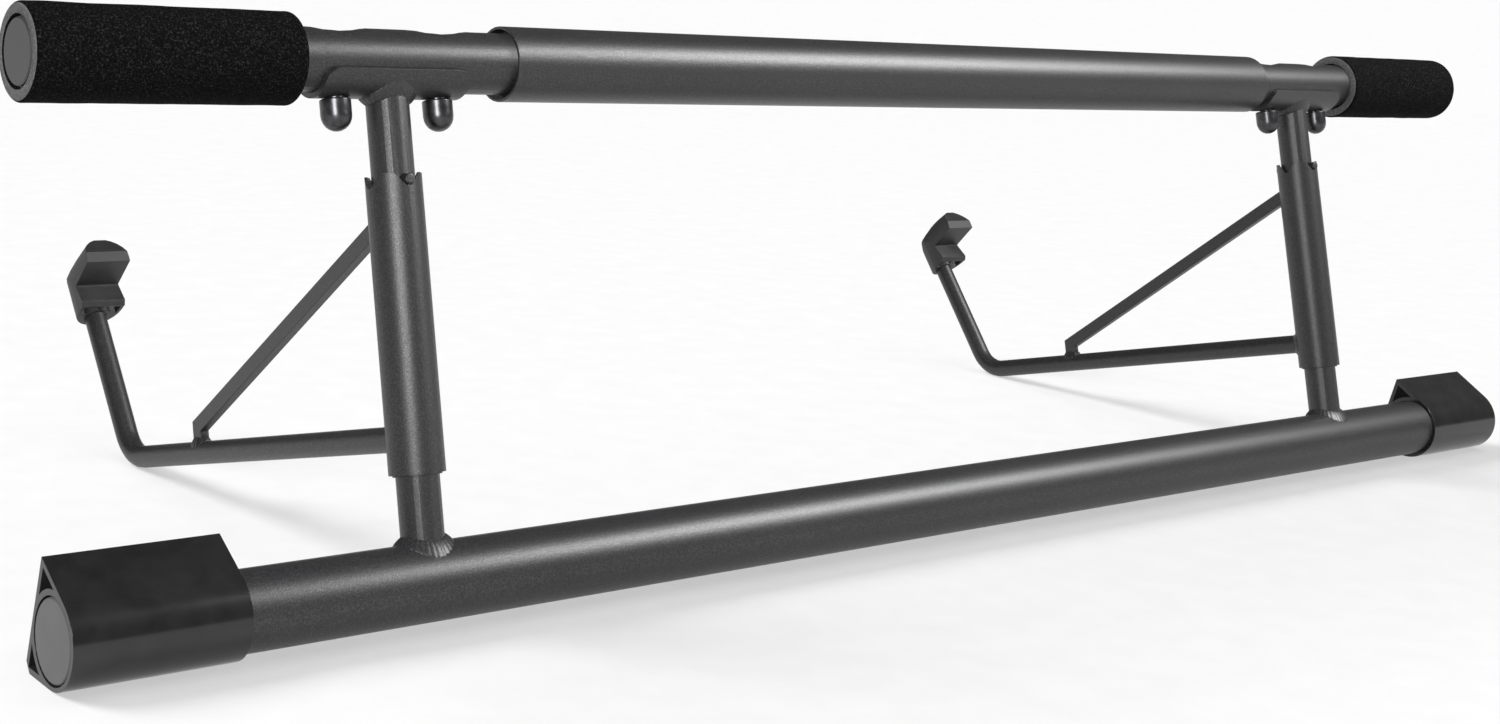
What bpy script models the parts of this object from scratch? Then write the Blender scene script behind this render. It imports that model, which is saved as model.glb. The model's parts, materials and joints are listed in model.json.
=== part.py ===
"""Doorway pull-up bar with swinging hook arms.

The bar stands folded out on a floor: it rests on the flat undersides of its two door
bumpers and on the bends of its two hook arms, and so leans back a little.  +X runs along
the bar, +Y towards the hooks and +Z up.  Sizes are in metres.

Everything is drawn in the bar's own upright frame, with the axis of the brace tube at its
origin and the posts along +Z.  One empty, "stance", then leans the whole bar back.
"""

from math import acos, asin, atan2, cos, hypot, pi, radians, sin, tan

import bmesh
import bpy
from mathutils import Matrix, Vector

# ---------------------------------------------------------------- driving dimensions
GAP = 0.0003                     # air between pieces that touch
TURN_GAP = 0.0003                # radial air where one round piece turns on another

BRACE_LENGTH = 1.0164            # lower tube, without its end plugs
BRACE_RADIUS = 0.0175
TUBE_WALL = 0.0015

POST_SPACING = 0.681             # between the axes of the two posts
POST_RADIUS = 0.00975
POST_WALL = 0.0015

HANDLE_HEIGHT = 0.2312           # from the brace tube's axis up to the handle tube's axis
HANDLE_LENGTH = 1.0124           # upper tube, without its end plugs
HANDLE_RADIUS = 0.0143
DENT_DEPTH = 0.0028              # the bolts pull the top of the handle tube flat
DENT_HALF_LENGTH = 0.020

SLEEVE_LENGTH = 0.5737           # loose grip sleeve in the middle of the handle tube
SLEEVE_SHIFT = 0.0077            # how far it has slid towards +X
SLEEVE_RADIUS = 0.0176
SLEEVE_WALL = 0.0014
SPACER_LENGTH = 0.012
SPACER_INSET = 0.006

GRIP_LENGTH = 0.1195             # foam grips
GRIP_RADIUS = 0.0206
GRIP_SHOULDER = 0.0017

PLUG_FLANGE = 0.0018             # end plugs of both tubes
PLUG_DEPTH = 0.014
PLUG_WALL = 0.0020
PLUG_EDGE = 0.0005

SADDLE_LENGTH = 0.074            # curved plate between a post and the handle tube
SADDLE_THICKNESS = 0.0025
SADDLE_EDGE_DROP = 0.0062        # its long edges lie this far below the handle's axis
SADDLE_CORNER = 0.007
BOLT_SPACING = 0.0525
BOLT_RADIUS = 0.0040
BOLT_HEAD_RADIUS = 0.0070
BOLT_HEAD_DEPTH = 0.0035
BOLT_SOCKET = 0.0025             # across the hexagon, from its axis to a corner
BOLT_SOCKET_DEPTH = 0.0022
NUT_RADIUS = 0.0070
NUT_SKIRT = 0.0072
NUT_DOME = 0.0072
NUT_BORE_DEPTH = 0.0095

ARM_SLEEVE_RADIUS = 0.0127       # sleeve that turns on the post
ARM_SLEEVE_WALL = 0.0014
ARM_SLEEVE_BOTTOM = 0.0476
ARM_SLEEVE_TOP = 0.1799
PIN_RADIUS = 0.0025              # cross pin through the post, which the sleeve locks on
PIN_HEIGHT = 0.1767
PIN_OVERHANG = 0.0018            # how far it stands proud of the arm sleeve
NOTCH_GAP = 0.0004
NOTCH_FLANK = radians(50)        # slope that lets the pin out as the sleeve drops and turns
LINER_LENGTH = 0.016
LINER_PROUD = 0.0008             # the lower liner shows below the sleeve

ARM_HEIGHT = 0.0631              # axis of the hook rod where it leaves the sleeve
ARM_REACH = 0.2890               # from the post's axis to the corner of the rod's bend
ROD_RADIUS = 0.0059
BEND_RADIUS = 0.022
HOOK_LEAN = radians(24.5)        # the upright of the hook leans back from the post
ROD_UPRIGHT = 0.0985             # from the corner of the bend to the rod's tip

STAY_WIDTH = 0.0080              # flat bar that stiffens the arm
STAY_THICKNESS = 0.0050
STAY_TOP = 0.1590                # height where its axis meets the sleeve
STAY_FOOT_REACH = 0.2060         # where its short foot stands on the rod
STAY_FOOT_HEIGHT = 0.0075

SHOE_HALF_WIDTH = 0.0125         # plastic shoe on the rod's tip
SHOE_FRONT = 0.0151              # pad face, in front of the rod's axis
SHOE_BOTTOM = 0.0870             # along the rod, from the corner of the bend
SHOE_NOTCH_FRONT = 0.0121
SHOE_NOTCH_HEIGHT = 0.1012
SHOE_NOTCH_ROOT = 0.0006         # flat at the root of the notch
SHOE_LEDGE_FRONT = 0.0329
SHOE_LEDGE_HEIGHT = 0.1042
SHOE_TIP_FRONT = 0.0290
SHOE_TIP_HEIGHT = 0.1202
SHOE_SHOULDER = 0.1065           # the rounded top starts here
SHOE_COLLAR = 0.0024             # wall around the rod
SHOE_WALL = 0.0020
SHOE_RIB = 0.0011                # half the rib between the two pockets
SHOE_POCKET_DEPTH = 0.0085

BUMPER_LENGTH = 0.0758           # door bumper on each end of the brace tube
BUMPER_WALL = 0.0020             # around the tube
BUMPER_SKIN = 0.0026             # around the two corner hollows
BUMPER_UPPER_HORN = 0.0265       # half heights of the flat rear face
BUMPER_LOWER_HORN = 0.0248
BUMPER_CHAMFER = 0.0043

ROUND = 32                       # sides of a large round piece
ROUND_SMALL = 24
ROUND_FINE = 16
SHARP = radians(30)

# ---------------------------------------------------------------- sizes that follow
SIDES = (("left", -1), ("right", 1))
BUMPER_BORE = BRACE_RADIUS + GAP
BUMPER_RADIUS = BUMPER_BORE + BUMPER_WALL
SADDLE_INNER = HANDLE_RADIUS + GAP
SADDLE_OUTER = SADDLE_INNER + SADDLE_THICKNESS
ARM_SLEEVE_BORE = ARM_SLEEVE_RADIUS - ARM_SLEEVE_WALL
NOTCH_RADIUS = PIN_RADIUS + NOTCH_GAP
PIN_HALF_LENGTH = ARM_SLEEVE_RADIUS + PIN_OVERHANG
BEND_TURN = pi / 2 - HOOK_LEAN
BEND_TANGENT = BEND_RADIUS * tan(BEND_TURN / 2)

# Lean at which the rods' bends and the bumpers' undersides touch the same floor.
BEND_CENTRE_Y = ARM_REACH - BEND_TANGENT
BEND_CENTRE_Z = ARM_HEIGHT + BEND_RADIUS
LEAN = (acos((BEND_RADIUS + ROD_RADIUS - BUMPER_RADIUS) / hypot(BEND_CENTRE_Y, BEND_CENTRE_Z))
        - atan2(BEND_CENTRE_Y, BEND_CENTRE_Z))

# A bumper's underside is a straight flank from its lower rear corner to its round front.
# The bumper turns on the tube by this much for that flank to lie flat on the floor.
BUMPER_TURN = 2 * atan2(BUMPER_LOWER_HORN, BUMPER_RADIUS) - pi / 2

LOOKS = {                        # colour, roughness, metallic
    "powder coat": ((0.070, 0.070, 0.072), 0.42, 0.55),
    "plated steel": ((0.110, 0.110, 0.112), 0.30, 0.90),
    "foam": ((0.010, 0.010, 0.010), 0.95, 0.0),
    "gloss plastic": ((0.018, 0.018, 0.018), 0.28, 0.0),
    "grey plastic": ((0.130, 0.130, 0.130), 0.45, 0.0),
    "matt plastic": ((0.040, 0.040, 0.041), 0.60, 0.0),
    "liner plastic": ((0.012, 0.012, 0.012), 0.50, 0.0),
}


# ---------------------------------------------------------------- helpers
def clear_scene():
    for obj in list(bpy.data.objects):
        bpy.data.objects.remove(obj, do_unlink=True)


def empty(name, parent=None, location=(0, 0, 0), rotation=(0, 0, 0)):
    obj = bpy.data.objects.new(name, None)
    obj.empty_display_size = 0.02
    bpy.context.collection.objects.link(obj)
    obj.parent = parent
    obj.location = location
    obj.rotation_euler = rotation
    return obj


def finish(node, look):
    colour, roughness, metallic = LOOKS[look]
    material = bpy.data.materials.new(f"{node} {look}")
    material.use_nodes = True
    shader = material.node_tree.nodes["Principled BSDF"]
    shader.inputs["Base Color"].default_value = (*colour, 1)
    shader.inputs["Roughness"].default_value = roughness
    shader.inputs["Metallic"].default_value = metallic
    material.diffuse_color = (*colour, 1)
    return material


def piece(name, mesh, look, parent, location=(0, 0, 0), rotation=(0, 0, 0)):
    """One sub-part: a named object with its own material."""
    mesh.name = name
    mesh.shade_smooth()
    mesh.set_sharp_from_angle(angle=SHARP)
    mesh.materials.append(finish(name, look))
    obj = bpy.data.objects.new(name, mesh)
    bpy.context.collection.objects.link(obj)
    obj.parent = parent
    obj.location = location
    obj.rotation_euler = rotation
    return obj


def carve(target, mesh, operation="DIFFERENCE", location=(0, 0, 0), rotation=(0, 0, 0)):
    """Cut or trim a piece with a hidden tool that sits beside it, under the same parent."""
    tool = bpy.data.objects.new(f"{target.name}.tool", mesh)
    bpy.context.collection.objects.link(tool)
    tool.parent = target.parent
    tool.location = location
    tool.rotation_euler = rotation
    tool.hide_render = True
    tool.display_type = "WIRE"
    modifier = target.modifiers.new("carve", "BOOLEAN")
    modifier.operation = operation
    modifier.solver = "EXACT"
    modifier.object = tool


def mesh_from(name, build):
    """Run build(bm) on a fresh bmesh and return it as a closed mesh with outward faces."""
    bm = bmesh.new()
    build(bm)
    bmesh.ops.recalc_face_normals(bm, faces=bm.faces)
    mesh = bpy.data.meshes.new(name)
    bm.to_mesh(mesh)
    bm.free()
    return mesh


def turned(name, profile, sides, ring=False):
    """Turn (radius, height) points about Z.  A ring's profile closes on itself."""
    def build(bm):
        verts = [bm.verts.new((radius, 0, height)) for radius, height in profile]
        pairs = list(zip(verts, verts[1:]))
        if ring:
            pairs.append((verts[-1], verts[0]))
        edges = [bm.edges.new(pair) for pair in pairs]
        bmesh.ops.spin(bm, geom=verts + edges, cent=(0, 0, 0), axis=(0, 0, 1),
                       angle=2 * pi, steps=sides, use_merge=True)
        bmesh.ops.remove_doubles(bm, verts=bm.verts, dist=1e-6)
    return mesh_from(name, build)


def tube(name, outer, inner, low, high, sides):
    return turned(name, [(inner, low), (outer, low), (outer, high), (inner, high)], sides, ring=True)


def rod(name, radius, low, high, sides):
    return turned(name, [(0, low), (radius, low), (radius, high), (0, high)], sides)


def skin_rings(bm, rings, closed=True):
    """Join rings of points into a skin, and cap its two ends unless they meet."""
    rows = [[bm.verts.new(point) for point in ring] for ring in rings]
    spans = list(zip(rows, rows[1:]))
    if not closed:
        spans.append((rows[-1], rows[0]))
    for near, far in spans:
        for i in range(len(near)):
            j = (i + 1) % len(near)
            bm.faces.new((near[i], near[j], far[j], far[i]))
    if closed:
        bm.faces.new(rows[0])
        bm.faces.new(rows[-1])


def prism(name, outline, low, high, place):
    """Extrude a 2-D outline; place(u, v, w) turns its points and depth into x, y, z."""
    def build(bm):
        skin_rings(bm, [[place(u, v, w) for u, v in outline] for w in (low, high)])
    return mesh_from(name, build)


def arc(centre, radius, start, end, steps):
    return [(centre[0] + radius * cos(start + (end - start) * i / steps),
             centre[1] + radius * sin(start + (end - start) * i / steps))
            for i in range(steps + 1)]


def along_x(u, v, w):
    return (w, u, v)


def along_y(u, v, w):
    return (u, w, v)


def along_z(u, v, w):
    return (u, v, w)


X_AXIS = (0, pi / 2, 0)          # turns a piece drawn along Z to lie along X
Y_AXIS = (pi / 2, 0, 0)          # and one to lie along Y


# ---------------------------------------------------------------- lower brace
def end_plug(name, tube_radius, wall, side, length, height, parent):
    """Push-in end cap: a flat disc with a softened rim and a hollow skirt inside the tube."""
    bore = tube_radius - wall - GAP
    face = tube_radius - PLUG_EDGE
    profile = [(0, PLUG_FLANGE), (face - PLUG_EDGE, PLUG_FLANGE), (face, PLUG_FLANGE - PLUG_EDGE),
               (face, GAP), (bore, GAP), (bore, -PLUG_DEPTH), (bore - PLUG_WALL, -PLUG_DEPTH),
               (bore - PLUG_WALL, 0), (0, 0)]
    mesh = turned(name, profile, ROUND)
    piece(name, mesh, "grey plastic", parent, (side * length / 2, 0, height), (0, side * pi / 2, 0))


def flank_turn(horn):
    """Angle from the rear at which the flank to a rear corner meets the round front."""
    return 2 * atan2(horn, BUMPER_RADIUS)


def bumper_outline():
    """D shape: round front about the tube, flat rear face and two straight flanks."""
    turn = flank_turn(BUMPER_LOWER_HORN)
    front = arc((0, 0), BUMPER_RADIUS, flank_turn(BUMPER_UPPER_HORN), 2 * pi - turn, 20)
    below = (BUMPER_RADIUS - BUMPER_CHAMFER * sin(turn),
             -BUMPER_LOWER_HORN - BUMPER_CHAMFER * cos(turn))
    return front + [below, (BUMPER_RADIUS, BUMPER_CHAMFER - BUMPER_LOWER_HORN),
                    (BUMPER_RADIUS, BUMPER_UPPER_HORN)]


def bumper_hollow(horn, sign):
    """Three-cornered hollow between the tube's socket and one rear corner."""
    socket = BUMPER_BORE + BUMPER_SKIN
    rear = BUMPER_RADIUS - BUMPER_SKIN
    turn = flank_turn(horn)
    start = acos(rear / socket)
    stop = turn - acos(rear / socket)
    tip = (rear - rear * cos(turn)) / sin(turn)
    outline = arc((0, 0), socket, start, stop, 5) + [(rear, tip)]
    return [(u, sign * v) for u, v in outline]


def add_bumper(label, side, parent):
    name = f"door_bumper_{label}"
    end = BRACE_LENGTH / 2 + PLUG_FLANGE
    low, high = sorted((side * end, side * (end - BUMPER_LENGTH)))
    axis = empty(f"bumper_axis_{label}", parent, (0, 0, 0), (LEAN + BUMPER_TURN, 0, 0))
    body = piece(name, prism(name, bumper_outline(), low, high, along_x), "gloss plastic", axis)
    carve(body, rod("bore", BUMPER_BORE, low - GAP, high + GAP, ROUND), rotation=X_AXIS)
    for horn, sign in ((BUMPER_UPPER_HORN, 1), (BUMPER_LOWER_HORN, -1)):
        hollow = prism("hollow", bumper_hollow(horn, sign), low - GAP, high + GAP, along_x)
        carve(body, hollow)


def add_brace(parent):
    half = BRACE_LENGTH / 2
    mesh = tube("brace_tube", BRACE_RADIUS, BRACE_RADIUS - TUBE_WALL, -half, half, ROUND)
    piece("brace_tube", mesh, "powder coat", parent, rotation=X_AXIS)
    for label, side in SIDES:
        end_plug(f"brace_plug_{label}", BRACE_RADIUS, TUBE_WALL, side, BRACE_LENGTH, 0, parent)
        add_bumper(label, side, parent)


# ---------------------------------------------------------------- posts and saddles
def saddle_mesh(name):
    """Curved plate: an arc about the handle tube, with rounded corners in plan."""
    half_angle = acos(SADDLE_EDGE_DROP / SADDLE_OUTER)
    half = SADDLE_LENGTH / 2
    stations = []
    for i in range(5):
        slant = pi / 2 * i / 4
        x = half - SADDLE_CORNER + SADDLE_CORNER * cos(slant)
        trim = SADDLE_CORNER * (1 - sin(slant)) / SADDLE_OUTER
        stations.append((x, half_angle - trim))
    stations = [(-x, a) for x, a in stations] + [(x, a) for x, a in reversed(stations)]

    def ring(x, reach):
        outer = arc((0, 0), SADDLE_OUTER, -pi / 2 - reach, -pi / 2 + reach, 18)
        inner = arc((0, 0), SADDLE_INNER, -pi / 2 + reach, -pi / 2 - reach, 18)
        return [(x, y, z) for y, z in outer + inner]
    return mesh_from(name, lambda bm: skin_rings(bm, [ring(x, a) for x, a in stations]))


def add_post(label, side, parent):
    axis = empty(f"post_axis_{label}", parent, (side * POST_SPACING / 2, 0, 0))
    name = f"post_{label}"
    mesh = tube(name, POST_RADIUS, POST_RADIUS - POST_WALL, 0.3 * BRACE_RADIUS,
                HANDLE_HEIGHT - 0.5 * HANDLE_RADIUS, ROUND_SMALL)
    post = piece(name, mesh, "powder coat", axis)
    reach = 2 * BRACE_RADIUS
    carve(post, rod("foot", BRACE_RADIUS + GAP, -reach, reach, ROUND), rotation=X_AXIS)
    carve(post, rod("crown", SADDLE_OUTER + GAP, -reach, reach, ROUND),
          location=(0, 0, HANDLE_HEIGHT), rotation=X_AXIS)
    carve(post, rod("pin_hole", PIN_RADIUS + GAP, -reach, reach, ROUND_FINE),
          location=(0, 0, PIN_HEIGHT), rotation=Y_AXIS)

    name = f"lock_pin_{label}"
    bevel = 0.2 * PIN_RADIUS
    profile = [(0, -PIN_HALF_LENGTH), (PIN_RADIUS - bevel, -PIN_HALF_LENGTH),
               (PIN_RADIUS, bevel - PIN_HALF_LENGTH), (PIN_RADIUS, PIN_HALF_LENGTH - bevel),
               (PIN_RADIUS - bevel, PIN_HALF_LENGTH), (0, PIN_HALF_LENGTH)]
    piece(name, turned(name, profile, ROUND_FINE), "plated steel", axis, (0, 0, PIN_HEIGHT), Y_AXIS)

    name = f"saddle_{label}"
    saddle = piece(name, saddle_mesh(name), "powder coat", axis, (0, 0, HANDLE_HEIGHT))
    for end, sign in (("inner", -side), ("outer", side)):
        x = sign * BOLT_SPACING / 2
        carve(saddle, rod("bolt_hole", BOLT_RADIUS + GAP, -2 * SADDLE_OUTER, 0, ROUND_FINE),
              location=(x, 0, HANDLE_HEIGHT))
        add_bolt(f"{end}_{label}", x, axis)
    return axis


# ---------------------------------------------------------------- handle
def bolt_profile(extra=0.0):
    """Countersunk bolt from its head down; extra widens it into its own clearance hole."""
    top = HANDLE_RADIUS - DENT_DEPTH
    bottom = 2 * GAP - SADDLE_OUTER - NUT_BORE_DEPTH
    rim = 0.0006
    return [(0, top + 8 * extra), (BOLT_HEAD_RADIUS + extra, top + 8 * extra),
            (BOLT_HEAD_RADIUS + extra, top - rim), (BOLT_RADIUS + extra, top - BOLT_HEAD_DEPTH),
            (BOLT_RADIUS + extra, bottom - 8 * extra), (0, bottom - 8 * extra)]


def add_bolt(label, x, axis):
    name = f"saddle_bolt_{label}"
    bolt = piece(name, turned(name, bolt_profile(), ROUND_FINE), "plated steel", axis,
                 (x, 0, HANDLE_HEIGHT))
    top = HANDLE_RADIUS - DENT_DEPTH
    carve(bolt, rod("hexagon", BOLT_SOCKET, top - BOLT_SOCKET_DEPTH, top + GAP, 6),
          location=(x, 0, HANDLE_HEIGHT))

    name = f"cap_nut_{label}"
    seat = -SADDLE_OUTER - GAP
    dome = [(NUT_RADIUS * cos(pi / 2 * i / 6), seat - NUT_SKIRT - NUT_DOME * sin(pi / 2 * i / 6))
            for i in range(6)]
    bore = BOLT_RADIUS + GAP
    profile = [(0, seat - NUT_BORE_DEPTH), (bore, seat - NUT_BORE_DEPTH), (bore, seat),
               (NUT_RADIUS - 0.0006, seat), (NUT_RADIUS, seat - 0.0006)]
    profile += dome + [(0, seat - NUT_SKIRT - NUT_DOME)]
    piece(name, turned(name, profile, ROUND_FINE), "plated steel", axis, (x, 0, HANDLE_HEIGHT))


def dent(x):
    """How far the top of the handle tube is pressed down at x."""
    depth = 0.0
    for _, side in SIDES:
        for sign in (-1, 1):
            off = abs(x - side * POST_SPACING / 2 - sign * BOLT_SPACING / 2)
            if off < DENT_HALF_LENGTH:
                depth += DENT_DEPTH * (0.5 + 0.5 * cos(pi * off / DENT_HALF_LENGTH))
    return depth


def handle_mesh(name):
    """Round tube whose top is pressed flat at the four bolts."""
    half = HANDLE_LENGTH / 2
    stations = {-half, half}
    for _, side in SIDES:
        for sign in (-1, 1):
            middle = side * POST_SPACING / 2 + sign * BOLT_SPACING / 2
            stations.update(middle + DENT_HALF_LENGTH * k / 5 for k in range(-5, 6))
    stations = sorted(stations)

    def ring(x, radius):
        flat = radius - dent(x)
        circle = [(radius * cos(2 * pi * i / ROUND), radius * sin(2 * pi * i / ROUND))
                  for i in range(ROUND)]
        return [(x, y, min(z, flat)) for y, z in circle]

    outer = [ring(x, HANDLE_RADIUS) for x in stations]
    inner = [ring(x, HANDLE_RADIUS - TUBE_WALL) for x in reversed(stations)]
    return mesh_from(name, lambda bm: skin_rings(bm, outer + inner, closed=False))


def add_handle(parent):
    axis = empty("handle_axis", parent, (0, 0, HANDLE_HEIGHT))
    handle = piece("handle_tube", handle_mesh("handle_tube"), "powder coat", axis)
    for _, side in SIDES:
        for sign in (-1, 1):
            x = side * POST_SPACING / 2 + sign * BOLT_SPACING / 2
            carve(handle, turned("bolt_hole", bolt_profile(GAP), ROUND_FINE), location=(x, 0, 0))

    half = SLEEVE_LENGTH / 2
    bore = SLEEVE_RADIUS - SLEEVE_WALL
    mesh = tube("centre_sleeve", SLEEVE_RADIUS, bore, -half, half, ROUND)
    piece("centre_sleeve", mesh, "powder coat", axis, (SLEEVE_SHIFT, 0, 0), X_AXIS)

    grip_middle = HANDLE_LENGTH / 2 + PLUG_FLANGE - GRIP_LENGTH / 2
    for label, side in SIDES:
        name = f"sleeve_spacer_{label}"
        spacer = tube(name, bore - GAP, HANDLE_RADIUS + GAP, -SPACER_LENGTH / 2, SPACER_LENGTH / 2, ROUND)
        x = SLEEVE_SHIFT + side * (half - SPACER_INSET - SPACER_LENGTH / 2)
        piece(name, spacer, "liner plastic", axis, (x, 0, 0), X_AXIS)

        name = f"foam_grip_{label}"
        piece(name, grip_mesh(name), "foam", axis, (side * grip_middle, 0, 0), X_AXIS)
        end_plug(f"handle_plug_{label}", HANDLE_RADIUS, TUBE_WALL, side, HANDLE_LENGTH, 0, axis)


def grip_mesh(name):
    half = GRIP_LENGTH / 2
    bore = HANDLE_RADIUS + GAP
    centre = (GRIP_RADIUS - GRIP_SHOULDER, half - GRIP_SHOULDER)
    shoulder = arc(centre, GRIP_SHOULDER, 0, pi / 2, 4)
    profile = [(bore, half)] + list(reversed(shoulder))
    profile += [(r, -z) for r, z in shoulder] + [(bore, -half)]
    return turned(name, profile, ROUND, ring=True)


# ---------------------------------------------------------------- hook arms
def notches_mesh():
    """Four radial notch tools, a quarter turn apart, each with a round seat and slanted flanks."""
    rise = ARM_SLEEVE_TOP - PIN_HEIGHT + 0.002
    seat = arc((0, 0), NOTCH_RADIUS, -pi / 2 - NOTCH_FLANK, -pi / 2 + NOTCH_FLANK, 8)
    reach = seat[-1][0] + (rise - seat[-1][1]) / tan(NOTCH_FLANK)
    outline = [(-reach, rise)] + seat + [(reach, rise)]

    def build(bm):
        for quarter in range(4):
            spin = Matrix.Rotation(quarter * pi / 2, 3, "Z")
            depths = (-0.6 * ARM_SLEEVE_RADIUS, -1.3 * ARM_SLEEVE_RADIUS)
            skin_rings(bm, [[spin @ Vector((u, w, v)) for u, v in outline] for w in depths])
    return mesh_from("notches", build)


def add_arm_sleeve(label, axis):
    name = f"arm_sleeve_{label}"
    mesh = tube(name, ARM_SLEEVE_RADIUS, ARM_SLEEVE_BORE, ARM_SLEEVE_BOTTOM, ARM_SLEEVE_TOP, ROUND)
    sleeve = piece(name, mesh, "powder coat", axis)
    carve(sleeve, notches_mesh(), location=(0, 0, PIN_HEIGHT))

    lowest_notch = PIN_HEIGHT - NOTCH_RADIUS - 0.003
    spots = (("lower", ARM_SLEEVE_BOTTOM - LINER_PROUD), ("upper", lowest_notch - LINER_LENGTH))
    for level, low in spots:
        name = f"sleeve_liner_{level}_{label}"
        mesh = tube(name, ARM_SLEEVE_BORE - GAP, POST_RADIUS + TURN_GAP, low, low + LINER_LENGTH, ROUND)
        piece(name, mesh, "liner plastic", axis)


def rod_path():
    """Axis of the hook rod in the arm's plane: out, round the bend and up to the tip."""
    start = (0.6 * ARM_SLEEVE_RADIUS, ARM_HEIGHT)
    bend = arc((BEND_CENTRE_Y, BEND_CENTRE_Z), BEND_RADIUS, -pi / 2, -pi / 2 + BEND_TURN, 8)
    tip = (ARM_REACH + ROD_UPRIGHT * sin(HOOK_LEAN), ARM_HEIGHT + ROD_UPRIGHT * cos(HOOK_LEAN))
    return [start] + bend + [tip]


def swept_round(name, path, radius, sides):
    """Round bar along a path in the plane x = 0."""
    def build(bm):
        rings = []
        for i, (y, z) in enumerate(path):
            before = path[max(i - 1, 0)]
            after = path[min(i + 1, len(path) - 1)]
            slope = atan2(after[1] - before[1], after[0] - before[0])
            across = (-sin(slope), cos(slope))
            rings.append([(radius * cos(2 * pi * k / sides),
                           y + radius * sin(2 * pi * k / sides) * across[0],
                           z + radius * sin(2 * pi * k / sides) * across[1])
                          for k in range(sides)])
        skin_rings(bm, rings)
    return mesh_from(name, build)


def add_hook_rod(label, axis):
    name = f"hook_rod_{label}"
    body = piece(name, swept_round(name, rod_path(), ROD_RADIUS, ROUND_FINE), "powder coat", axis)
    reach = 2 * ROD_RADIUS
    carve(body, rod("cope", ARM_SLEEVE_RADIUS + GAP, ARM_HEIGHT - reach, ARM_HEIGHT + reach, ROUND))


def stay_outline():
    """Flat bar from the sleeve down to a short foot that stands on the rod."""
    foot_low = ARM_HEIGHT + ROD_RADIUS + GAP
    kink = (STAY_FOOT_REACH, foot_low + STAY_FOOT_HEIGHT)
    top = (0.6 * ARM_SLEEVE_RADIUS, STAY_TOP + 0.2 * ARM_SLEEVE_RADIUS)
    slope = atan2(kink[1] - top[1], kink[0] - top[0])
    half = STAY_WIDTH / 2
    across = (-sin(slope) * half, cos(slope) * half)
    mitre = half * tan((pi / 2 + slope) / 2)
    rear = STAY_FOOT_REACH + half
    front = STAY_FOOT_REACH - half
    return [(top[0] + across[0], top[1] + across[1]), (rear, kink[1] + mitre), (rear, foot_low),
            (front, foot_low), (front, kink[1] - mitre), (top[0] - across[0], top[1] - across[1])]


def add_stay(label, axis):
    name = f"arm_stay_{label}"
    half = STAY_THICKNESS / 2
    body = piece(name, prism(name, stay_outline(), -half, half, along_x), "powder coat", axis)
    carve(body, rod("cope", ARM_SLEEVE_RADIUS + GAP, ARM_HEIGHT, 1.2 * ARM_SLEEVE_TOP, ROUND))


# ---------------------------------------------------------------- hook shoes
# A shoe is drawn in the rod's own frame: its origin is the corner of the bend, Z runs up
# the rod and -Y points forward, to the door.
def shoe_side_outline():
    back = ROD_RADIUS + SHOE_COLLAR
    profile = [(-back, SHOE_BOTTOM), (SHOE_FRONT - 0.002, SHOE_BOTTOM), (SHOE_FRONT, SHOE_BOTTOM + 0.0025),
               (SHOE_NOTCH_FRONT, SHOE_NOTCH_HEIGHT - SHOE_NOTCH_ROOT),
               (SHOE_NOTCH_FRONT + SHOE_NOTCH_ROOT, SHOE_NOTCH_HEIGHT), (SHOE_LEDGE_FRONT, SHOE_LEDGE_HEIGHT),
               (SHOE_LEDGE_FRONT + 0.0006, SHOE_LEDGE_HEIGHT + 0.006), (SHOE_TIP_FRONT, SHOE_TIP_HEIGHT)]
    crown = (SHOE_NOTCH_HEIGHT + SHOE_TIP_HEIGHT) / 2
    profile += [(SHOE_TIP_FRONT - 0.012, SHOE_TIP_HEIGHT - 0.002), (0.0, crown), (-back, crown - 0.010)]
    return [(-front, height) for front, height in profile]


def shoe_front_outline():
    """Seen from the door: straight sides and a rounded top."""
    rise = SHOE_TIP_HEIGHT - SHOE_SHOULDER + 0.0005
    top = [(SHOE_HALF_WIDTH * cos(pi * i / 12), SHOE_SHOULDER + rise * sin(pi * i / 12)) for i in range(13)]
    return top + [(-SHOE_HALF_WIDTH, SHOE_BOTTOM - 0.002), (SHOE_HALF_WIDTH, SHOE_BOTTOM - 0.002)]


def shoe_plan_outline():
    """Seen along the rod: square front, sides that close round the rod at the back."""
    back = ROD_RADIUS + SHOE_COLLAR + 0.0002
    waist = -0.5 * SHOE_FRONT
    rear = [(SHOE_HALF_WIDTH * cos(pi * i / 12), waist + (back - waist) * sin(pi * i / 12))
            for i in range(13)]
    front = -SHOE_LEDGE_FRONT - 0.002
    return rear + [(-SHOE_HALF_WIDTH, front), (SHOE_HALF_WIDTH, front)]


def shoe_pocket(sign):
    """Cored pocket beside the collar in the shoe's underside."""
    collar = ROD_RADIUS + GAP + SHOE_COLLAR
    front = SHOE_FRONT - SHOE_WALL - 0.0012
    side = SHOE_HALF_WIDTH - SHOE_WALL
    start = asin(SHOE_RIB / collar)
    stop = radians(62)
    round_collar = arc((0, 0), collar, -pi / 2 + start, -pi / 2 + stop, 5)
    outline = round_collar + [(side, round_collar[-1][1]), (side, -front), (SHOE_RIB, -front)]
    return [(sign * u, v) for u, v in outline]


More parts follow.
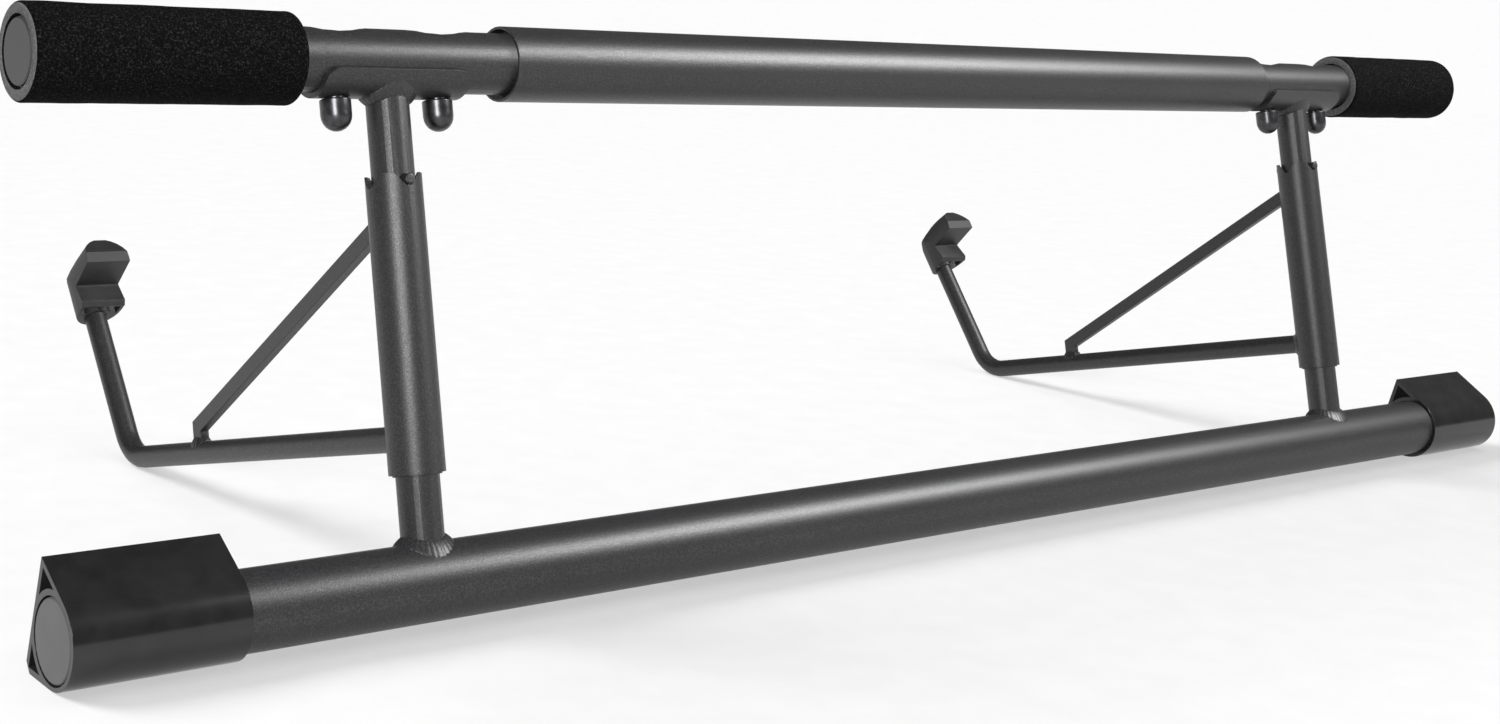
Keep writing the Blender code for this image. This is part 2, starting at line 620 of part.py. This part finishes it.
def add_shoe(label, axis):
    tip_frame = empty(f"rod_frame_{label}", axis, (0, ARM_REACH, ARM_HEIGHT), (-HOOK_LEAN, 0, 0))
    name = f"hook_shoe_{label}"
    mesh = prism(name, shoe_side_outline(), -SHOE_HALF_WIDTH, SHOE_HALF_WIDTH, along_x)
    shoe = piece(name, mesh, "matt plastic", tip_frame)
    front = prism("front", shoe_front_outline(), -2 * SHOE_LEDGE_FRONT, SHOE_LEDGE_FRONT, along_y)
    plan = prism("plan", shoe_plan_outline(), 0.9 * SHOE_BOTTOM, 1.1 * SHOE_TIP_HEIGHT, along_z)
    carve(shoe, front, "INTERSECT")
    carve(shoe, plan, "INTERSECT")
    carve(shoe, rod("socket", ROD_RADIUS + GAP, 0.9 * SHOE_BOTTOM, ROD_UPRIGHT + GAP, ROUND_FINE))
    for sign in (-1, 1):
        pocket = prism("pocket", shoe_pocket(sign), 0.9 * SHOE_BOTTOM,
                       SHOE_BOTTOM + SHOE_POCKET_DEPTH, along_z)
        carve(shoe, pocket)


# ---------------------------------------------------------------- assembly
def stand_on_floor(stance):
    """Set the finished bar on z = 0 with the middle of its footprint at the origin."""
    bpy.context.view_layer.update()
    depsgraph = bpy.context.evaluated_depsgraph_get()
    points = []
    for obj in bpy.context.scene.objects:
        if obj.type == "MESH" and not obj.hide_render:
            shape = obj.evaluated_get(depsgraph)
            points += [shape.matrix_world @ vertex.co for vertex in shape.data.vertices]
    lows = [min(point[k] for point in points) for k in range(3)]
    highs = [max(point[k] for point in points) for k in range(3)]
    stance.location.y -= (lows[1] + highs[1]) / 2
    stance.location.z -= lows[2]


def main():
    clear_scene()
    stance = empty("stance", rotation=(-LEAN, 0, 0))
    add_brace(stance)
    add_handle(stance)
    for label, side in SIDES:
        axis = add_post(label, side, stance)
        add_arm_sleeve(label, axis)
        add_hook_rod(label, axis)
        add_stay(label, axis)
        add_shoe(label, axis)
    stand_on_floor(stance)


main()
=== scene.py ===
# %% [markdown]
# # A doorway pull-up bar, dressed for its portrait
# The bar is a welded steel frame in charcoal powder coat.  A padded handle tube runs over a
# thicker brace tube, and two rod arms with plastic hook shoes swing out behind.  The exact
# solids come in as a fixed frame.  This lesson gives each of them soft edges and a finish,
# and adds what those solids leave out: weld beads and foam.

import json
from math import atan2, cos, degrees, hypot, pi, radians, sin, sqrt

import bmesh
import bpy
from mathutils import Matrix, Vector, noise

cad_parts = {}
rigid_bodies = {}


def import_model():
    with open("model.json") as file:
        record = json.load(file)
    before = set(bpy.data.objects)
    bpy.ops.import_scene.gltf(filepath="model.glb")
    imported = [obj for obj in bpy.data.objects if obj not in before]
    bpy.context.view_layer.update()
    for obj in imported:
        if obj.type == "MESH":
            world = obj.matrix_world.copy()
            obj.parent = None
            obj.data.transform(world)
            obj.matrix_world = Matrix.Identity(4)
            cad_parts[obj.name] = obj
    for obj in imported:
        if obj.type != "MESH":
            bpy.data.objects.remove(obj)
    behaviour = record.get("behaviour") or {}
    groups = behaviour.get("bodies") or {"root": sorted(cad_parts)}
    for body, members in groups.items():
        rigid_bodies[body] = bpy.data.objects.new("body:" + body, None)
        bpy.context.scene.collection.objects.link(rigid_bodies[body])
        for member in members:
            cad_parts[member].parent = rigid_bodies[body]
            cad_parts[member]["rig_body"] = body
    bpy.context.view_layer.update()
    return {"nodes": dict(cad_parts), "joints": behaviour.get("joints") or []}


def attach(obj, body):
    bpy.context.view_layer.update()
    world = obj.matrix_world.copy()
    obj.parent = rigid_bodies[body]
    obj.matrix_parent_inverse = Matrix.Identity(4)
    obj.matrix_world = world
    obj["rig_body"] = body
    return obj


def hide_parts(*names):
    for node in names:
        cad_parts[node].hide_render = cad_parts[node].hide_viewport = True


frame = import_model()

# %% [markdown]
# The bar leans back as it stands, so its posts aren't upright.  Its joints say how far: the
# arms swing about their posts, and the bumpers turn about the brace tube.  One matrix made
# from those two axes lets every piece be drawn upright, from the middle of the brace tube.

# %% Find the bar's own upright axes
JOINTS = {joint["name"]: joint for joint in frame["joints"]}
SIDES = (("left", -1), ("right", 1))
post_direction = Vector(JOINTS["swing_right"]["axis"])
brace_point = Vector(JOINTS["bumper_turn_right"]["pos_m"])
LEAN = atan2(post_direction.y, post_direction.z)
STANCE = Matrix.Translation((0, brace_point.y, brace_point.z)) @ Matrix.Rotation(-LEAN, 4, "X")
POST_X = JOINTS["swing_right"]["pos_m"][0]


def span(node):
    """A node's lowest and highest corner in the bar's own upright axes."""
    points = [STANCE.inverted() @ v.co for v in frame["nodes"][node].data.vertices]
    return (Vector([min(p[k] for p in points) for k in range(3)]),
            Vector([max(p[k] for p in points) for k in range(3)]))


HANDLE_LOW, HANDLE_HIGH = span("centre_sleeve")
HANDLE_Z = (HANDLE_LOW.z + HANDLE_HIGH.z) / 2
print(f"lean {degrees(LEAN):.1f} deg, posts at {POST_X * 1000:.1f} mm,",
      f"handle at {HANDLE_Z * 1000:.1f} mm")

# %% [markdown]
# ## Tools for finishes
# Colours are picked as sRGB hex values, as on a paint chart, but the shader works in linear
# light, so one function converts them.  A second adds a node, sets it and links it.

# %% Colour and node helpers
MM = 0.001


def hex_colour(code):
    """sRGB hex to linear RGBA."""
    channels = [int(code[i:i + 2], 16) / 255 for i in (1, 3, 5)]
    linear = [c / 12.92 if c <= 0.04045 else ((c + 0.055) / 1.055) ** 2.4 for c in channels]
    return (*linear, 1.0)


def add(tree, kind, inputs=None, **settings):
    """Add a node.  A tuple (node, output) in inputs makes a link, anything else is a value."""
    made = tree.nodes.new(kind)
    for name, value in settings.items():
        setattr(made, name, value)
    for name, value in (inputs or {}).items():
        if isinstance(value, tuple) and isinstance(value[0], bpy.types.Node):
            tree.links.new(value[0].outputs[value[1]], made.inputs[name])
        else:
            made.inputs[name].default_value = value
    return made


def new_finish(name):
    """An empty node material, with its shader and object coordinates ready."""
    material = bpy.data.materials.new(name)
    material.use_nodes = True
    tree = material.node_tree
    shader = tree.nodes["Principled BSDF"]
    return material, tree, shader, add(tree, "ShaderNodeTexCoord")


def ramp(tree, source, stops):
    """Colour ramp with stops of (position, hex colour)."""
    made = add(tree, "ShaderNodeValToRGB", {"Fac": source})
    while len(made.color_ramp.elements) < len(stops):
        made.color_ramp.elements.new(0.5)
    for element, (position, code) in zip(made.color_ramp.elements, stops):
        element.position = position
        element.color = hex_colour(code)
    return made


def drive(tree, source, low, high, shader, socket):
    """Let a 0 to 1 pattern move one shader input between two values."""
    made = add(tree, "ShaderNodeMapRange", {"Value": source, "To Min": low, "To Max": high})
    tree.links.new(made.outputs["Result"], shader.inputs[socket])


print("helpers ready")

# %% [markdown]
# ## Powder coat
# The steel is sprayed with dry polyester powder and baked at about 190 degrees.  The melt
# levels into a satin skin with faint orange peel, and this grade holds ground mica, so it
# glints like a metal though it is paint.  Real flakes are under 0.1 mm, too fine to show, so
# they are drawn at 0.7 mm.  The orange peel is drawn at its real 2 mm.

# %% Satin charcoal powder coat with mica
FLAKE = 0.7 * MM
PEEL = 2.0 * MM


def powder_coat():
    material, tree, shader, coords = new_finish("satin_charcoal_powder_coat")
    flakes = add(tree, "ShaderNodeTexNoise", {"Vector": (coords, "Object"), "Scale": 1 / FLAKE,
                                              "Detail": 2.0, "Roughness": 0.7})
    drift = add(tree, "ShaderNodeTexNoise", {"Vector": (coords, "Object"), "Scale": 1 / (60 * MM),
                                             "Detail": 2.0})
    peel = add(tree, "ShaderNodeTexNoise", {"Vector": (coords, "Object"), "Scale": 1 / PEEL,
                                            "Detail": 1.0})
    # Ground mica in dark grey: mostly even, with paler and darker specks close up.
    specks = ramp(tree, (flakes, "Fac"), [(0.34, "#171718"), (0.50, "#202021"), (0.66, "#363637")])
    # The spray was never laid quite evenly, so the tone drifts along a tube.
    tint = ramp(tree, (drift, "Fac"), [(0.35, "#f0f0f2"), (0.65, "#ffffff")])
    mixed = add(tree, "ShaderNodeMix", data_type="RGBA", blend_type="MULTIPLY")
    mixed.inputs["Factor"].default_value = 1.0
    tree.links.new(specks.outputs["Color"], mixed.inputs[6])
    tree.links.new(tint.outputs["Color"], mixed.inputs[7])
    tree.links.new(mixed.outputs[2], shader.inputs["Base Color"])
    # Flakes that lie flat are shinier, which puts the sparkle inside the highlights.
    drive(tree, (flakes, "Fac"), 0.52, 0.30, shader, "Roughness")
    shader.inputs["Specular IOR Level"].default_value = 0.62
    bump = add(tree, "ShaderNodeBump", {"Height": (peel, "Fac"), "Strength": 0.10,
                                        "Distance": 0.3 * MM})
    grain = add(tree, "ShaderNodeBump", {"Height": (flakes, "Fac"), "Strength": 0.42,
                                         "Distance": 0.15 * MM, "Normal": (bump, "Normal")})
    tree.links.new(grain.outputs["Normal"], shader.inputs["Normal"])
    shader.inputs["Metallic"].default_value = 0.2
    return material


POWDER = powder_coat()
print("finish:", POWDER.name)

# %% [markdown]
# ## Nickel-blacked steel
# Cap nuts and bolts are turned, then dipped in a blackening bath.  The bath leaves the
# metal's gloss but darkens it, with slight clouds where the bath was weaker.

# %% Blackened steel
def blackened_steel():
    material, tree, shader, coords = new_finish("blackened_steel")
    # Clouds where the bath took less, so a bright nut doesn't look like one flat grey.
    cloud = add(tree, "ShaderNodeTexNoise", {"Vector": (coords, "Object"), "Scale": 1 / (3 * MM),
                                             "Detail": 3.0})
    tone = ramp(tree, (cloud, "Fac"), [(0.3, "#3a3a3b"), (0.7, "#505052")])
    tree.links.new(tone.outputs["Color"], shader.inputs["Base Color"])
    drive(tree, (cloud, "Fac"), 0.24, 0.36, shader, "Roughness")
    shader.inputs["Metallic"].default_value = 0.9
    return material


BLACKENED = blackened_steel()
print("finish:", BLACKENED.name)

# %% [markdown]
# ## Foam
# The grips are extruded nitrile foam.  Its cut cells make a matt, very dark skin with a fine
# light grain where cell walls catch the light.  Real cells are about 0.3 mm, so they are
# drawn at 0.9 mm to show at all.

# %% Black nitrile foam
CELL = 0.9 * MM


def nitrile_foam(name, dark, middle, light):
    material, tree, shader, coords = new_finish(name)
    cells = add(tree, "ShaderNodeTexVoronoi", {"Vector": (coords, "Object"), "Scale": 1 / CELL})
    grit = add(tree, "ShaderNodeTexNoise", {"Vector": (coords, "Object"), "Scale": 1 / CELL,
                                            "Detail": 4.0, "Roughness": 0.8})
    # Near black, with pale grains where torn cell walls catch the light.
    skin = ramp(tree, (grit, "Fac"), [(0.38, dark), (0.54, middle), (0.66, light)])
    tree.links.new(skin.outputs["Color"], shader.inputs["Base Color"])
    dents = add(tree, "ShaderNodeBump", {"Height": (cells, "Distance"), "Strength": 0.5,
                                         "Distance": 0.5 * MM})
    rough = add(tree, "ShaderNodeBump", {"Height": (grit, "Fac"), "Strength": 0.6,
                                         "Distance": 0.5 * MM, "Normal": (dents, "Normal")})
    tree.links.new(rough.outputs["Normal"], shader.inputs["Normal"])
    shader.inputs["Roughness"].default_value = 0.92
    shader.inputs["Specular IOR Level"].default_value = 0.04
    return material


FOAM = nitrile_foam("black_nitrile_foam", "#030303", "#080808", "#292929")
# The cut ends are painted much paler: a painted highlight, standing in for the strong light from
# the left that falls on them.
FOAM_END_PAINTED_LIGHT = nitrile_foam("foam_end_painted_light", "#4a4a4a", "#5c5c5c", "#6e6e6e")
print("finishes:", FOAM.name, FOAM_END_PAINTED_LIGHT.name)

# %% [markdown]
# ## Moulded plastics
# The bumpers are soft PVC from a polished mould, glossy enough to mirror the room.  The
# shoes come from a spark-eroded mould, which leaves them matt.  The end plugs are waxy
# polyethylene, darker in the handle than in the brace tube, and the hidden liners are nylon.
# All share one recipe: a tone that drifts a little, a roughness that follows it, and the
# mould's own texture as bump.

# %% Plastics
def moulded(name, dark, light, roughness, texture, depth, strength):
    material, tree, shader, coords = new_finish(name)
    flow = add(tree, "ShaderNodeTexNoise", {"Vector": (coords, "Object"), "Scale": 1 / (12 * MM),
                                            "Detail": 3.0})
    skin = add(tree, "ShaderNodeTexNoise", {"Vector": (coords, "Object"), "Scale": 1 / texture,
                                            "Detail": 2.0})
    # Pigment drifts along the flow of the melt, which keeps a wide face from looking flat.
    tone = ramp(tree, (flow, "Fac"), [(0.35, dark), (0.65, light)])
    tree.links.new(tone.outputs["Color"], shader.inputs["Base Color"])
    drive(tree, (flow, "Fac"), roughness * 0.85, roughness * 1.15, shader, "Roughness")
    bump = add(tree, "ShaderNodeBump", {"Height": (skin, "Fac"), "Strength": strength,
                                        "Distance": depth})
    tree.links.new(bump.outputs["Normal"], shader.inputs["Normal"])
    shader.inputs["IOR"].default_value = 1.5
    return material


GLOSS_PVC = moulded("gloss_black_pvc", "#131313", "#191919", 0.18, 6 * MM, 0.2 * MM, 0.10)
MATT_PVC = moulded("spark_textured_pvc", "#171718", "#202021", 0.52, 0.7 * MM, 0.2 * MM, 0.25)
GREY_PE = moulded("grey_polyethylene", "#434344", "#4c4c4d", 0.42, 1.5 * MM, 0.1 * MM, 0.15)
DARK_PE = moulded("dark_grey_polyethylene", "#2c2c2d", "#333334", 0.46, 1.5 * MM, 0.1 * MM, 0.15)
NYLON = moulded("black_nylon", "#101011", "#1a1a1b", 0.45, 1.0 * MM, 0.1 * MM, 0.15)
print("finishes:", *(m.name for m in (GLOSS_PVC, MATT_PVC, GREY_PE, DARK_PE, NYLON)))

# %% [markdown]
# ## Softening the solids
# No real edge is knife sharp: saw cuts are tumbled, paint gathers in a bead and plastic
# leaves its mould with a radius.  Without that, edges never catch the light.  Each solid is
# copied, its triangles are dissolved back into whole faces, and a bevel rounds the edges.

# %% Make soft-edged copies
def dress(mesh, material, edge, angle=30):
    """Smooth shading with sharp creases kept, and a small round on every crease."""
    mesh.shade_smooth()
    mesh.set_sharp_from_angle(angle=radians(angle))
    mesh.materials.clear()
    mesh.materials.append(material)
    obj = bpy.data.objects.new(mesh.name, mesh)
    bpy.context.scene.collection.objects.link(obj)
    if edge:
        bevel = obj.modifiers.new("soft edge", "BEVEL")
        bevel.width = edge
        bevel.segments = 3
        bevel.limit_method = "ANGLE"
        bevel.angle_limit = radians(angle + 2)
        bevel.harden_normals = True
    return obj


def soften(node, material, edge):
    """Stand a soft-edged copy in for one of the frame's solids."""
    mesh = frame["nodes"][node].data.copy()
    mesh.name = f"soft_{node}"
    bm = bmesh.new()
    bm.from_mesh(mesh)
    bmesh.ops.remove_doubles(bm, verts=bm.verts, dist=0.00002)
    bmesh.ops.dissolve_limit(bm, angle_limit=radians(0.6), verts=bm.verts, edges=bm.edges)
    bm.to_mesh(mesh)
    bm.free()
    obj = dress(mesh, material, edge)
    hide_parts(node)
    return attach(obj, frame["nodes"][node]["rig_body"])


def both(name):
    return [f"{name}_{label}" for label, _ in SIDES]


# The cross pins are painted together with the posts, so they share the posts' finish.
STEEL = ["brace_tube", "handle_tube", "centre_sleeve", *both("post"), *both("saddle"),
         *both("arm_sleeve"), *both("hook_rod"), *both("arm_stay")]
HARDWARE = [f"{kind}_{end}" for kind in ("saddle_bolt", "cap_nut")
            for end in both("inner") + both("outer")]
for node in STEEL:
    soften(node, POWDER, 0.35 * MM)
for node in HARDWARE:
    soften(node, BLACKENED, 0.25 * MM)
for node in both("lock_pin"):
    soften(node, POWDER, 0.5 * MM)
for node in both("door_bumper"):
    soften(node, GLOSS_PVC, 0.7 * MM)
for node in both("hook_shoe"):
    soften(node, MATT_PVC, 0.8 * MM)
for node in both("brace_plug"):
    soften(node, GREY_PE, 0.0)
for node in both("handle_plug"):
    soften(node, DARK_PE, 0.0)
for node in both("sleeve_liner_lower") + both("sleeve_liner_upper") + both("sleeve_spacer"):
    soften(node, NYLON, 0.2 * MM)

# %% [markdown]
# ## Weld beads
# Posts, saddles, rods and stays are joined by a fillet of weld metal, which the paint then
# covers.  A fillet follows the curve where a round bar meets a round tube.  Walking round
# that curve gives two lines, one up on the bar and one out on the tube, and a plump crown
# joins them.  The welder's pauses leave ripples about 2 mm apart.

# %% Draw a fillet where a bar meets a tube
RIPPLE_PITCH = 2.0 * MM
SUNK = 0.4 * MM  # a bead's hidden feet go this far into the tube
STEPS = 96


def bead_mesh(name, bar, tube_radius, leg_bar, leg_tube, ripple, rows=7):
    """Bar along +Z with half sizes (along the tube, across it), tube along X at the origin."""
    along, across = bar
    around = 2 * pi * max(along, across)
    count = max(8, round(around / RIPPLE_PITCH))
    bm = bmesh.new()
    rings = []
    for i in range(STEPS):
        turn = 2 * pi * i / STEPS
        wave = 1 + ripple * sin(count * turn) + 0.4 * ripple * sin(3 * turn + 1)
        foot = Vector((along * cos(turn), across * sin(turn)))
        outward = Vector((cos(turn) / along, sin(turn) / across)).normalized()
        ring = []
        for j in range(rows + 2):
            share = min(j, rows) / rows
            # From the bar's side, over a plump crown, out to the tube's surface.
            crown = 0.06 * sin(pi * share)
            reach = leg_tube * wave * (share + crown)
            rise = leg_bar * wave * (1 - share + crown)
            spot = foot + outward * reach
            depth = -SUNK if j > rows else 0.0
            height = sqrt(max(tube_radius ** 2 - spot.y ** 2, 0.0)) + rise + depth
            ring.append(bm.verts.new((spot.x, spot.y, height)))
        inner = foot - outward * 0.3 * MM
        height = sqrt(max(tube_radius ** 2 - inner.y ** 2, 0.0))
        ring.append(bm.verts.new((inner.x, inner.y, height - SUNK)))
        ring.append(bm.verts.new((inner.x, inner.y, height + leg_bar * wave)))
        rings.append(ring)
    for i in range(STEPS):
        near, far = rings[i], rings[(i + 1) % STEPS]
        for j in range(len(near)):
            k = (j + 1) % len(near)
            bm.faces.new((near[j], far[j], far[k], near[k]))
    bmesh.ops.recalc_face_normals(bm, faces=bm.faces)
    mesh = bpy.data.meshes.new(name)
    bm.to_mesh(mesh)
    bm.free()
    return mesh


def bead(name, body, place, *sizes):
    """Place a bead, with its bar's direction as local +Z and its tube along local X."""
    obj = dress(bead_mesh(name, *sizes), POWDER, 0.0, angle=60)
    obj.matrix_world = STANCE @ place
    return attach(obj, body)


def half_width(node, axis):
    low, high = span(node)
    return (high[axis] - low[axis]) / 2


POST_R = half_width("post_right", 0)
BRACE_R = half_width("brace_tube", 2)
ROD_R = half_width("hook_rod_right", 0)
SLEEVE_R = half_width("arm_sleeve_right", 0)
SADDLE_R = HANDLE_Z - span("saddle_right")[0].z
ROD_Z = span("hook_rod_right")[0].z + ROD_R
STAY_LOW, STAY_HIGH = span("arm_stay_right")
STAY_X = (STAY_HIGH.x - STAY_LOW.x) / 2
STAY_Y = 4.0 * MM
STAY_TOP = STAY_HIGH.z - 8.3 * MM
# The saddle is above its post, the arm's tubes are behind it, and the stay is on the rod.
FLIP = Matrix.Rotation(pi, 4, "X")
OUT = Matrix(((0, -1, 0, 0), (0, 0, 1, 0), (-1, 0, 0, 0), (0, 0, 0, 1)))
ALONG_ROD = Matrix.Rotation(pi / 2, 4, "Z")
for label, side in SIDES:
    x = side * POST_X
    bead(f"post_weld_{label}", "frame", Matrix.Translation((x, 0, 0)),
         (POST_R, POST_R), BRACE_R, 3.4 * MM, 3.8 * MM, 0.08)
    bead(f"saddle_weld_{label}", "frame", Matrix.Translation((x, 0, HANDLE_Z)) @ FLIP,
         (POST_R, POST_R), SADDLE_R, 3.0 * MM, 3.2 * MM, 0.08)
    bead(f"rod_weld_{label}", f"arm_{label}", Matrix.Translation((x, 0, ROD_Z)) @ OUT,
         (ROD_R, ROD_R), SLEEVE_R, 2.4 * MM, 2.4 * MM, 0.08)
    bead(f"stay_weld_{label}", f"arm_{label}", Matrix.Translation((x, 0, STAY_TOP)) @ OUT,
         (4.4 * MM, STAY_X), SLEEVE_R, 1.8 * MM, 1.8 * MM, 0.08)
    foot = Matrix.Translation((x, STAY_HIGH.y - STAY_Y, ROD_Z)) @ ALONG_ROD
    bead(f"stay_foot_weld_{label}", f"arm_{label}", foot,
         (STAY_Y, STAY_X), ROD_R, 3.0 * MM, 2.6 * MM, 0.08)

# %% [markdown]
# ## Foam grips
# A grip is a thick foam sleeve pushed over the tube end with soapy water.  It is cut from a
# long extrusion, so its ends are flat with softly crushed rims, and its skin is never quite
# true.  It is turned from a profile, then every point is moved a little by smooth noise.

# %% Turn the foam grips
def turned(name, profile, sides):
    """Turn closed (radius, distance) points about the X axis."""
    bm = bmesh.new()
    rings = []
    for i in range(sides):
        turn = 2 * pi * i / sides
        rings.append([bm.verts.new((d, r * cos(turn), r * sin(turn))) for r, d in profile])
    for i in range(sides):
        near, far = rings[i], rings[(i + 1) % sides]
        for j in range(len(profile)):
            k = (j + 1) % len(profile)
            bm.faces.new((near[j], far[j], far[k], near[k]))
    bmesh.ops.recalc_face_normals(bm, faces=bm.faces)
    mesh = bpy.data.meshes.new(name)
    bm.to_mesh(mesh)
    bm.free()
    return mesh


def foam_profile(half, radius, bore, shoulder):
    """One closed outline: bore, end face, crushed rim, long skin, and back."""
    rim = [(radius - shoulder + shoulder * sin(pi / 2 * i / 6),
            half - shoulder + shoulder * cos(pi / 2 * i / 6)) for i in range(7)]
    skin = [(radius, (half - shoulder) * (1 - i / 24)) for i in range(1, 24)]
    upper = [(bore, half - 0.6 * MM), (bore + 0.6 * MM, half)] + rim + skin
    return upper + [(radius, 0.0)] + [(r, -d) for r, d in reversed(upper)]


BORE = 14.6 * MM
RIM = 1.7 * MM
SKIN_STARTS = 16 * MM  # the bore inside this radius stays true to its tube
for label, side in SIDES:
    low, high = span(f"foam_grip_{label}")
    half = (high.x - low.x) / 2
    radius = (high.z - low.z) / 2
    mesh = turned(f"foam_{label}", foam_profile(half, radius - 0.1 * MM, BORE, RIM), STEPS)
    for vertex in mesh.vertices:
        spot = vertex.co + Vector((side, 0, 0))
        wave = noise.noise(spot * 55) * 0.22 * MM + noise.noise(spot * 170) * 0.08 * MM
        out = Vector((0, vertex.co.y, vertex.co.z)).normalized()
        if hypot(vertex.co.y, vertex.co.z) > SKIN_STARTS:
            vertex.co += out * (wave - 0.15 * MM)
    grip = dress(mesh, FOAM, 0.0, angle=50)
    mesh.materials.append(FOAM_END_PAINTED_LIGHT)
    # The second finish, painted light that makes the end faces paler, goes on the cut ends only.
    for face in mesh.polygons:
        flat = abs(face.normal.x) > 0.9
        face.material_index = 1 if flat else 0
    grip.matrix_world = STANCE @ Matrix.Translation(((low.x + high.x) / 2, 0, HANDLE_Z))
    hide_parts(f"foam_grip_{label}")
    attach(grip, "frame")
    print(f"foam {label}: {half * 2000:.0f} mm long, {radius * 2000:.0f} mm across")

# %% [markdown]
# ## Room, light and camera
# The bar stands on pale paper, as in a catalogue.  Far off, the paper rises gently, so that
# no horizon shows above it.  Dark satin steel shows only what it reflects.  One panel at the
# front left draws the stripes on the posts, and one at the front right draws the stripe along
# each tube.  A sun at the rear left lays soft shadows, and one overhead whitens the paper.

# %% Floor and backdrop
def paper():
    material, tree, shader, coords = new_finish("pale_studio_paper")
    fibre = add(tree, "ShaderNodeTexNoise", {"Vector": (coords, "Object"), "Scale": 40.0})
    tone = ramp(tree, (fibre, "Fac"), [(0.3, "#eeeeee"), (0.7, "#f1f1f1")])
    tree.links.new(tone.outputs["Color"], shader.inputs["Base Color"])
    shader.inputs["Roughness"].default_value = 0.9
    shader.inputs["Specular IOR Level"].default_value = 0.1
    return material


PAPER_HALF = 40.0
FLAT_RADIUS = 4.0
RISE = 0.05
bm = bmesh.new()
bmesh.ops.create_grid(bm, x_segments=80, y_segments=80, size=PAPER_HALF)
for vertex in bm.verts:
    vertex.co.z = RISE * max(0.0, hypot(vertex.co.x, vertex.co.y) - FLAT_RADIUS)
floor_mesh = bpy.data.meshes.new("floor")
bm.to_mesh(floor_mesh)
bm.free()
floor = bpy.data.objects.new("floor", floor_mesh)
floor_mesh.materials.append(paper())
bpy.context.scene.collection.objects.link(floor)
print("floor laid")


# %% Lights
def panel(name, place, target, size, power):
    """A softbox of size (width, height) at a place, turned to a target."""
    light = bpy.data.lights.new(name, "AREA")
    light.shape = "RECTANGLE"
    light.size, light.size_y = size
    light.energy = power
    lamp = bpy.data.objects.new(name, light)
    lamp.location = place
    lamp.rotation_euler = (Vector(target) - Vector(place)).to_track_quat("-Z", "Y").to_euler()
    bpy.context.scene.collection.objects.link(lamp)
    return lamp


def sun(name, toward, softness, power):
    """A far light in the direction toward, seen as a disc of that many degrees."""
    light = bpy.data.lights.new(name, "SUN")
    light.angle = radians(softness)
    light.energy = power
    lamp = bpy.data.objects.new(name, light)
    lamp.rotation_euler = Vector(toward).to_track_quat("Z", "Y").to_euler()
    bpy.context.scene.collection.objects.link(lamp)
    return lamp


key = sun("key", (-0.62, 0.55, 0.75), 30, 1.6)
overhead = sun("overhead", (0.1, -0.2, 1.0), 60, 2.2)
front = panel("front", (-0.98, -0.90, 0.50), (-0.37, 0, 0.15), (0.34, 0.34), 11)
right = panel("right", (1.02, -0.95, 1.24), (0, 0, 0.13), (0.70, 0.60), 42)
# The suns stay out of reflections, which keeps the steel dark between its stripes.
key.visible_glossy = False
overhead.visible_glossy = False
# Only the key throws a shadow.  The panels have barn doors, here a light link, that keep
# them off the paper.
barn_doors = bpy.data.collections.new("lit_by_panels")
for obj in bpy.context.scene.objects:
    if obj.type == "MESH" and obj is not floor:
        barn_doors.objects.link(obj)
overhead.data.use_shadow = False
for lamp in (front, right):
    lamp.data.use_shadow = False
    lamp.light_linking.receiver_collection = barn_doors
world = bpy.data.worlds.new("studio")
bpy.context.scene.world = world
world.use_nodes = True
world.node_tree.nodes["Background"].inputs["Color"].default_value = hex_colour("#ffffff")
world.node_tree.nodes["Background"].inputs["Strength"].default_value = 0.13
bpy.context.scene.view_settings.view_transform = "Standard"

# %% [markdown]
# The camera stands close, in front of the left end and a little above it, so the near grip
# looms and the bar runs off to the right.  Its place and angles are given in the bar's own
# upright axes.  A small shift keeps the lens nearly level while the view takes in the floor.

# %% Camera
FOCAL = 51.03
EYE = Vector((-0.8389, -0.8097, 0.0792))
HEADING, PITCH, ROLL = 0.7033, 0.0752, -0.0929
right = Vector((cos(HEADING), -sin(HEADING), 0))
ahead = Vector((sin(HEADING), cos(HEADING), 0))
look = cos(PITCH) * ahead + sin(PITCH) * Vector((0, 0, 1))
above = right.cross(look)
across = cos(ROLL) * right + sin(ROLL) * above
upward = cos(ROLL) * above - sin(ROLL) * right
camera = bpy.data.objects.new("camera", bpy.data.cameras.new("camera"))
bpy.context.scene.collection.objects.link(camera)
turn = Matrix((across, upward, -look)).transposed().to_4x4()
camera.matrix_world = STANCE @ Matrix.Translation(EYE) @ turn
camera.data.lens = FOCAL
camera.data.shift_x = 0.0194
camera.data.shift_y = -0.10
camera.data.clip_start = 0.01
bpy.context.scene.camera = camera
print("camera at", [round(v, 3) for v in camera.matrix_world.translation])
